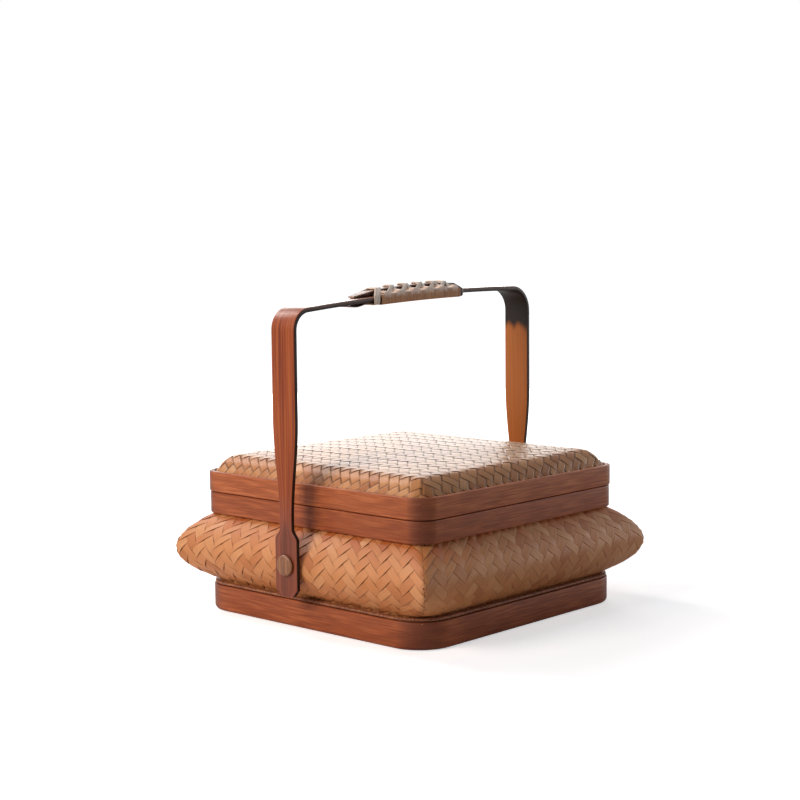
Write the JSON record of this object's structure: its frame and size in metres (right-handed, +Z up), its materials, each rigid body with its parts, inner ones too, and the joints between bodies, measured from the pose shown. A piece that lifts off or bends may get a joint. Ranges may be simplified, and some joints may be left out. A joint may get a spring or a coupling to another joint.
{
  "type": "lidded bamboo carrying basket",
  "caption": "Square plaited bamboo box with a bellied wall, lift-off lid and bamboo foot band, carried by a bent bamboo swing handle with a cane-wound grip.",
  "frame": {"origin": "centre of the foot band's underside, on the surface that the box stands on", "axes": "+Z up; the handle's pivot axis runs along Y, with the front at -Y; +X is to the right of the front"},
  "size_m": [0.2612, 0.2748, 0.2517],
  "materials": {
    "band": "lacquered bamboo board",
    "skin": "lacquered bamboo plait",
    "lining": "raw bamboo plait",
    "board": "sawn bamboo",
    "handle": "polished, scorched bamboo",
    "peg": "turned bamboo, oiled",
    "cane": "split cane"
  },
  "bodies": {
    "box": {"foot_band": "band", "foot_hoop": "board", "foot_bead": "cane", "floor_batten_front": "board", "floor_batten_rear": "board", "floor_mat": "lining", "box_skin": "skin", "box_lining": "lining", "rim_band": "band", "rim_lip": "board", "peg_rear": "peg", "peg_front": "peg", "peg_block_rear": "board", "peg_block_front": "board", "peg_key_rear": "peg", "peg_key_front": "peg"},
    "lid": {"lid_band": "band", "lid_skin": "skin", "lid_lining": "lining", "lid_hoop": "board"},
    "handle": {"handle_strip": "handle", "grip_top_splint": "cane", "grip_under_splint": "cane", "grip_padding": "cane", "grip_winding": "cane", "grip_collar_front": "cane", "grip_collar_rear": "cane"}
  },
  "joints": [
    {"name": "handle_swing", "type": "hinge", "parent": "box", "child": "handle", "pos_m": [0, 0, 0.0505], "axis": [0, 1, 0], "range_deg": [-100, 100]},
    {"name": "lid_lift", "type": "slide", "parent": "box", "child": "lid", "axis": [0, 0, 1], "range_m": [0, 0.075]}
  ]
}
